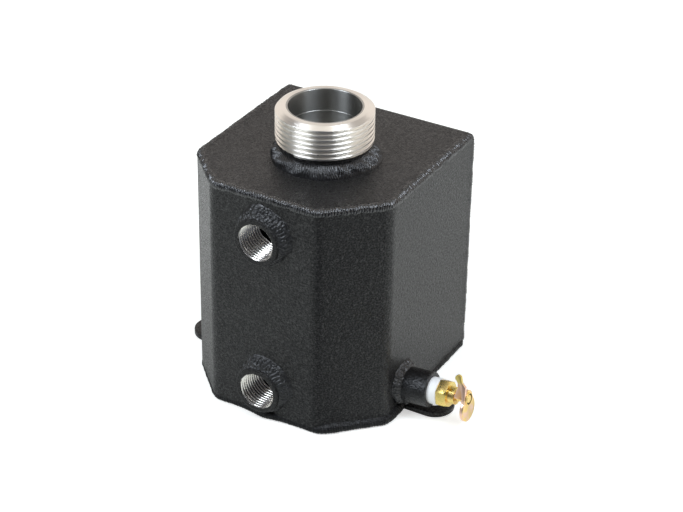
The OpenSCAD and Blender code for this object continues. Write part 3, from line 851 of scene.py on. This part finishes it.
for side_name, sign in (("left", -1.0), ("right", 1.0)):
    tab = eased(copy_of(f"{side_name}_mounting_tab", f"{side_name}_tab"), TAB_EDGE)
    fitted(tab, f"{side_name}_mounting_tab", "tank", coat)
    tab_low, tab_high = (Vector(corner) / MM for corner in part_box(f"{side_name}_mounting_tab"))
    run = tab_high.y - tab_low.y
    run_steps = round(run / 1.6 * RIPPLE_STEPS)
    wall = sign * HALF_W

    def put_tab_bead(step, row):
        along = run * step / run_steps
        nose = min(1.0, 0.25 + min(along, run - along) / 1.6)
        nose = math.sin(math.pi / 2.0 * nose)
        y = tab_low.y + along
        if row == CROWN_ROWS + 1:
            return Vector((wall - sign * 0.3, y, SHEET - 0.3))
        across = (row % (CROWN_ROWS + 2)) / CROWN_ROWS
        belly = 4.0 * across * (1.0 - across)
        leg = TAB_LEG * nose * (1.0 + 0.08 * uneven(along, 3.0, 60.0 + sign))
        swell = belly * (0.7 * nose + 0.12 * crescents(along, 2.0 * across - 1.0, 1.6, 61.0))
        out = leg * (1.0 - across) + swell
        rise = leg * across + swell
        out = -0.2 if across == 1.0 else out
        rise = -0.2 if across == 0.0 else rise
        return Vector((wall + sign * out, y, SHEET + rise))

    tab_bead = sealed(rolled(f"{side_name}_tab_bead", run_steps, CROWN_ROWS + 2, put_tab_bead))
    fitted(tab_bead, f"{side_name}_tab_weld", "tank", bead_coat)


# Sealing tape. White tape wound three times round the petcock's shank and pressed into the
# boss, with a soft ragged edge beside the hexagon.
TAPE_OUT = 5.0
TAPE_DEEP = 9.0
TAPE_R = 6.98
TAPE_IN_R = 6.78
SHANK_R = 6.3
TAPE_AROUND = 144
tape_rows = [(SHANK_R + 0.02, -TAPE_DEEP), (TAPE_IN_R, -TAPE_DEEP + 0.2), (TAPE_IN_R, 0.0)]
tape_rows += [(TAPE_R, 0.12 + (TAPE_OUT - 0.35) * part / 22.0) for part in range(23)]
tape_rows += [(TAPE_R - 0.25, TAPE_OUT - 0.08), (SHANK_R + 0.02, TAPE_OUT - 0.1),
              (SHANK_R + 0.02, -TAPE_DEEP)]


def put_tape(step, row):
    angle = 2.0 * math.pi * (step % TAPE_AROUND) / TAPE_AROUND
    radius, z = tape_rows[row]
    if radius == TAPE_R:
        lap = (z / 1.9 + angle / (2.0 * math.pi)) % 1.0
        ring = Vector((math.cos(angle), math.sin(angle), 0.0)) * TAPE_R
        radius -= 0.10 * lap ** 6
        radius -= 0.07 * abs(noise.noise(Vector((ring.x / 1.5, ring.y / 1.5, z / 0.5))))
    return at_mouth @ Vector((radius * math.cos(angle), radius * math.sin(angle), z))


TAPE_WHITE = (0.97, 0.965, 0.95, 1.0)
tape_look, tape_place, tape_shader = new_material("sealing_tape")
tape_folds = noise_of(tape_place, 0.0007, detail=3.0)
feed(tape_shader, Base_Color=TAPE_WHITE, Roughness=tape_folds * 0.2 + 0.4,
     Normal=bump(tape_folds, 0.3, 0.0001))
tape = sealed(rolled("tape_winding", TAPE_AROUND, len(tape_rows) - 1, put_tape))
fitted(tape, "thread_tape", "tank", tape_look)


# Petcock. A brass body with a hexagon and a round collar, a stem that screws in and out, and
# a stamped handle held by the stem's peened head.
GOLD = (0.97, 0.70, 0.25, 1.0)
# Olive is a tone that brass patches take at random, and also painted shade on the handle's wing tip
OLIVE_TONE_AND_SHADE = (0.80, 0.63, 0.20, 1.0)
# Pink is a tone that the handle's patches take at random, and also painted reflection on its wing and edges
PINK_BLUSH_AND_REFLECTION = (0.97, 0.66, 0.50, 1.0)
SHADED = (0.20, 0.13, 0.04, 1.0)
HANDLE_FACE = 20.3
RING_R = 3.6
HEAD_GAP_R = 2.95


def brass_look(name, other, from_share, soft):
    """Brass whose patches run from gold to another tone."""
    material, place, shader = new_material(name)
    patch = noise_of(place, 0.0045, detail=2.0)
    fine = noise_of(place, 0.0006, detail=3.0)
    feed(shader, Base_Color=patch.above(from_share, soft).blend(GOLD, other), Metallic=1.0,
         Roughness=fine * 0.16 + 0.20, Normal=bump(fine, 0.2, 0.00005))
    return material


body_brass = brass_look("machined_brass", OLIVE_TONE_AND_SHADE, 0.52, 0.12)
stem_brass = brass_look("stem_brass", OLIVE_TONE_AND_SHADE, 0.60, 0.10)

# The stamped handle is gold with pink patches at random on its lobe, and gold on the raised ring round the
# stem's head.
# Its wing and edges are painted pink reflection, the wing's tip painted olive shade, and the gap round the
# head painted shade
handle_brass, handle_place, handle_shader = new_material("stamped_brass")
handle_x, handle_y, handle_z = handle_place.axes()
petcock_mouth = at_mouth.translation
tilt = math.radians(DRAIN_TILT)
from_mouth_x = handle_x - petcock_mouth.x * MM
from_mouth_z = handle_z - petcock_mouth.z * MM
outward = from_mouth_x * math.cos(tilt) + from_mouth_z * math.sin(tilt)
upward = from_mouth_z * math.cos(tilt) - from_mouth_x * math.sin(tilt)
forward = petcock_mouth.y * MM - handle_y
off_axis = (upward * upward + forward * forward).math("SQRT")
blush = noise_of(handle_place, 0.004, detail=2.0)
handle_fine = noise_of(handle_place, 0.0006, detail=3.0)
wing = upward.above(1.2 * MM, 0.5 * MM) * forward.above(1.0 * MM, 0.4 * MM)
wing_tip = upward.above(9.2 * MM, 1.0 * MM)
edge = 1.0 - outward.above((HANDLE_FACE - 0.3) * MM, 0.1 * MM)
on_ring = (1.0 - off_axis.above(RING_R * MM, 0.05 * MM)) * outward.above(HANDLE_FACE * MM, 0.05 * MM)
in_gap = (1.0 - off_axis.above(HEAD_GAP_R * MM, 0.1 * MM)) * (1.0 - wing)
handle_colour = blush.above(0.55, 0.10).blend(GOLD, PINK_BLUSH_AND_REFLECTION)
# Painted pink reflection on the wing and the edges
handle_colour = edge.math("MAXIMUM", wing).blend(handle_colour, PINK_BLUSH_AND_REFLECTION)
# Painted olive shade on the wing's tip
handle_colour = wing_tip.blend(handle_colour, OLIVE_TONE_AND_SHADE)
handle_colour = on_ring.blend(handle_colour, GOLD)
feed(handle_shader, Base_Color=in_gap.blend(handle_colour, SHADED), Metallic=1.0,
     Roughness=handle_fine * 0.16 + 0.24, Normal=bump(handle_fine, 0.3, 0.00005))

for node_name, piece_name, body_name, easing, brass in (
        ("petcock_body", "petcock_shank_and_hexagon", "tank", 0.18, body_brass),
        ("petcock_stem", "petcock_screw_stem", "stem", 0.10, stem_brass),
        ("petcock_handle", "petcock_stamped_handle", "handle", 0.14, handle_brass)):
    brass_piece = eased(copy_of(node_name, piece_name), easing, segments=2)
    fitted(brass_piece, node_name, body_name, brass)
